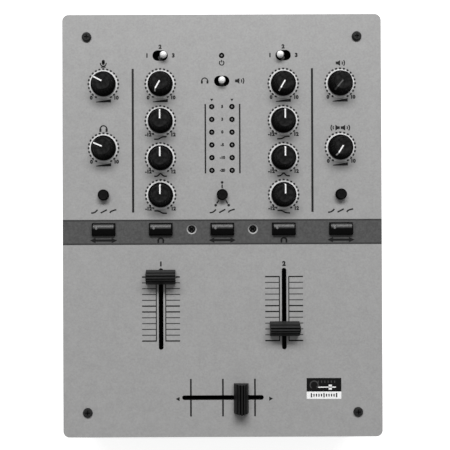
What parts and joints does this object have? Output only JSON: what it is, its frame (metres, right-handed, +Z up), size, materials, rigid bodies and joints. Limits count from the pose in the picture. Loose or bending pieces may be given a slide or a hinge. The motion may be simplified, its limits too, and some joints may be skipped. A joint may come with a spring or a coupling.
{
  "type": "dj mixer",
  "caption": "Two-channel DJ mixer: grey panel on a black case with rotary knobs, toggle levers, push buttons, channel faders and a crossfader, sockets at the rear.",
  "frame": {"origin": "on the surface that the feet stand on, under the middle of the top panel", "axes": "+X to the user's right, +Y to the rear (sockets), +Z up through the top panel"},
  "size_m": [0.254, 0.3364, 0.0906],
  "materials": {
    "panel_paint": "satin grey powder coat",
    "case_paint": "fine textured black",
    "knob_plastic": "matt black moulding",
    "button_plastic": "satin black moulding",
    "lever_plastic": "glossy white moulding",
    "foot_rubber": "matt black",
    "dark_screw": "black zinc plated steel",
    "bright_steel": "zinc plated",
    "board_laminate": "green solder mask",
    "socket_plastic": "satin black moulding",
    "light_lens": "diffused grey lens"
  },
  "bodies": {
    "chassis": {"top_panel": "panel_paint", "base_tray": "case_paint", "rear_panel": "case_paint", "rubber_feet": "foot_rubber", "panel_screws": "dark_screw", "case_fasteners": "dark_screw", "spacer_posts": "bright_steel", "control_board": "board_laminate", "rotary_pots": "bright_steel", "pot_nuts": "bright_steel", "lever_switches": "socket_plastic", "button_switches": "socket_plastic", "indicator_lights": "light_lens", "fader_frames": "bright_steel", "phono_sockets": "socket_plastic", "jack_sockets": "socket_plastic", "power_inlet": "socket_plastic", "power_switch_housing": "socket_plastic"},
    "mic_level_control": {"mic_level_knob": "knob_plastic", "mic_level_shaft": "bright_steel"},
    "phones_level_control": {"phones_level_knob": "knob_plastic", "phones_level_shaft": "bright_steel"},
    "master_level_control": {"master_level_knob": "knob_plastic", "master_level_shaft": "bright_steel"},
    "booth_level_control": {"booth_level_knob": "knob_plastic", "booth_level_shaft": "bright_steel"},
    "ch1_gain_control": {"ch1_gain_knob": "knob_plastic", "ch1_gain_shaft": "bright_steel"},
    "ch1_high_control": {"ch1_high_knob": "knob_plastic", "ch1_high_shaft": "bright_steel"},
    "ch1_mid_control": {"ch1_mid_knob": "knob_plastic", "ch1_mid_shaft": "bright_steel"},
    "ch1_low_control": {"ch1_low_knob": "knob_plastic", "ch1_low_shaft": "bright_steel"},
    "ch2_gain_control": {"ch2_gain_knob": "knob_plastic", "ch2_gain_shaft": "bright_steel"},
    "ch2_high_control": {"ch2_high_knob": "knob_plastic", "ch2_high_shaft": "bright_steel"},
    "ch2_mid_control": {"ch2_mid_knob": "knob_plastic", "ch2_mid_shaft": "bright_steel"},
    "ch2_low_control": {"ch2_low_knob": "knob_plastic", "ch2_low_shaft": "bright_steel"},
    "ch1_curve_control": {"ch1_curve_knob": "knob_plastic"},
    "crossfader_curve_control": {"crossfader_curve_knob": "knob_plastic"},
    "ch2_curve_control": {"ch2_curve_knob": "knob_plastic"},
    "ch1_input_toggle": {"ch1_input_lever": "lever_plastic"},
    "ch2_input_toggle": {"ch2_input_lever": "lever_plastic"},
    "cue_select_toggle": {"cue_select_lever": "lever_plastic"},
    "ch1_reverse_key": {"ch1_reverse_button": "button_plastic"},
    "ch1_cue_key": {"ch1_cue_button": "button_plastic"},
    "crossfader_reverse_key": {"crossfader_reverse_button": "button_plastic"},
    "ch2_cue_key": {"ch2_cue_button": "button_plastic"},
    "ch2_reverse_key": {"ch2_reverse_button": "button_plastic"},
    "ch1_fader_slider": {"ch1_fader_cap": "knob_plastic", "ch1_fader_carriage": "button_plastic"},
    "ch2_fader_slider": {"ch2_fader_cap": "knob_plastic", "ch2_fader_carriage": "button_plastic"},
    "crossfader_slider": {"crossfader_cap": "knob_plastic", "crossfader_carriage": "button_plastic"},
    "power_key": {"power_rocker": "button_plastic"}
  },
  "joints": [
    {"name": "mic_level_turn", "type": "hinge", "parent": "chassis", "child": "mic_level_control", "pos_m": [-0.0943, 0.113, 0.076], "axis": [0, 0, -1], "range_deg": [-87, 213]},
    {"name": "phones_level_turn", "type": "hinge", "parent": "chassis", "child": "phones_level_control", "pos_m": [-0.0943, 0.062, 0.076], "axis": [0, 0, -1], "range_deg": [-82, 218]},
    {"name": "master_level_turn", "type": "hinge", "parent": "chassis", "child": "master_level_control", "pos_m": [0.0943, 0.113, 0.076], "axis": [0, 0, -1], "range_deg": [-10, 290]},
    {"name": "booth_level_turn", "type": "hinge", "parent": "chassis", "child": "booth_level_control", "pos_m": [0.0943, 0.062, 0.076], "axis": [0, 0, -1], "range_deg": [-2, 298]},
    {"name": "ch1_gain_turn", "type": "hinge", "parent": "chassis", "child": "ch1_gain_control", "pos_m": [-0.049, 0.113, 0.076], "axis": [0, 0, -1], "range_deg": [0, 300]},
    {"name": "ch1_high_turn", "type": "hinge", "parent": "chassis", "child": "ch1_high_control", "pos_m": [-0.049, 0.0835, 0.076], "axis": [0, 0, -1], "range_deg": [-150, 150]},
    {"name": "ch1_mid_turn", "type": "hinge", "parent": "chassis", "child": "ch1_mid_control", "pos_m": [-0.049, 0.054, 0.076], "axis": [0, 0, -1], "range_deg": [-150, 150]},
    {"name": "ch1_low_turn", "type": "hinge", "parent": "chassis", "child": "ch1_low_control", "pos_m": [-0.049, 0.0245, 0.076], "axis": [0, 0, -1], "range_deg": [-150, 150]},
    {"name": "ch2_gain_turn", "type": "hinge", "parent": "chassis", "child": "ch2_gain_control", "pos_m": [0.049, 0.113, 0.076], "axis": [0, 0, -1], "range_deg": [0, 300]},
    {"name": "ch2_high_turn", "type": "hinge", "parent": "chassis", "child": "ch2_high_control", "pos_m": [0.049, 0.0835, 0.076], "axis": [0, 0, -1], "range_deg": [-150, 150]},
    {"name": "ch2_mid_turn", "type": "hinge", "parent": "chassis", "child": "ch2_mid_control", "pos_m": [0.049, 0.054, 0.076], "axis": [0, 0, -1], "range_deg": [-150, 150]},
    {"name": "ch2_low_turn", "type": "hinge", "parent": "chassis", "child": "ch2_low_control", "pos_m": [0.049, 0.0245, 0.076], "axis": [0, 0, -1], "range_deg": [-150, 150]},
    {"name": "ch1_curve_turn", "type": "hinge", "parent": "chassis", "child": "ch1_curve_control", "pos_m": [-0.0943, 0.0245, 0.076], "axis": [0, 0, -1], "range_deg": [-145, 145]},
    {"name": "crossfader_curve_turn", "type": "hinge", "parent": "chassis", "child": "crossfader_curve_control", "pos_m": [0, 0.0245, 0.076], "axis": [0, 0, -1], "range_deg": [-145, 145]},
    {"name": "ch2_curve_turn", "type": "hinge", "parent": "chassis", "child": "ch2_curve_control", "pos_m": [0.0943, 0.0245, 0.076], "axis": [0, 0, -1], "range_deg": [-145, 145]},
    {"name": "ch1_input_throw", "type": "hinge", "parent": "chassis", "child": "ch1_input_toggle", "pos_m": [-0.049, 0.1356, 0.0667], "axis": [0, 1, 0], "range_deg": [-23, 0]},
    {"name": "ch2_input_throw", "type": "hinge", "parent": "chassis", "child": "ch2_input_toggle", "pos_m": [0.049, 0.1356, 0.0667], "axis": [0, 1, 0], "range_deg": [0, 23]},
    {"name": "cue_select_throw", "type": "hinge", "parent": "chassis", "child": "cue_select_toggle", "pos_m": [0, 0.1152, 0.0667], "axis": [0, 1, 0], "range_deg": [-11.5, 11.5]},
    {"name": "ch1_reverse_press", "type": "slide", "parent": "chassis", "child": "ch1_reverse_key", "axis": [0, 0, -1], "range_m": [0, 0.0015], "stiffness_N_per_m": 500, "springref_m": -0.0005},
    {"name": "ch1_cue_press", "type": "slide", "parent": "chassis", "child": "ch1_cue_key", "axis": [0, 0, -1], "range_m": [0, 0.0015], "stiffness_N_per_m": 500, "springref_m": -0.0005},
    {"name": "crossfader_reverse_press", "type": "slide", "parent": "chassis", "child": "crossfader_reverse_key", "axis": [0, 0, -1], "range_m": [0, 0.0015], "stiffness_N_per_m": 500, "springref_m": -0.0005},
    {"name": "ch2_cue_press", "type": "slide", "parent": "chassis", "child": "ch2_cue_key", "axis": [0, 0, -1], "range_m": [0, 0.0015], "stiffness_N_per_m": 500, "springref_m": -0.0005},
    {"name": "ch2_reverse_press", "type": "slide", "parent": "chassis", "child": "ch2_reverse_key", "axis": [0, 0, -1], "range_m": [0, 0.0015], "stiffness_N_per_m": 500, "springref_m": -0.0005},
    {"name": "ch1_fader_slide", "type": "slide", "parent": "chassis", "child": "ch1_fader_slider", "axis": [0, 1, 0], "range_m": [-0.051, 0]},
    {"name": "ch2_fader_slide", "type": "slide", "parent": "chassis", "child": "ch2_fader_slider", "axis": [0, 1, 0], "range_m": [-0.0098, 0.0412]},
    {"name": "crossfader_slide", "type": "slide", "parent": "chassis", "child": "crossfader_slider", "axis": [1, 0, 0], "range_m": [-0.0399, 0.0111]},
    {"name": "power_rock", "type": "hinge", "parent": "chassis", "child": "power_key", "pos_m": [0.091, 0.15925, 0.039], "axis": [1, 0, 0], "range_deg": [-20, 0]}
  ]
}
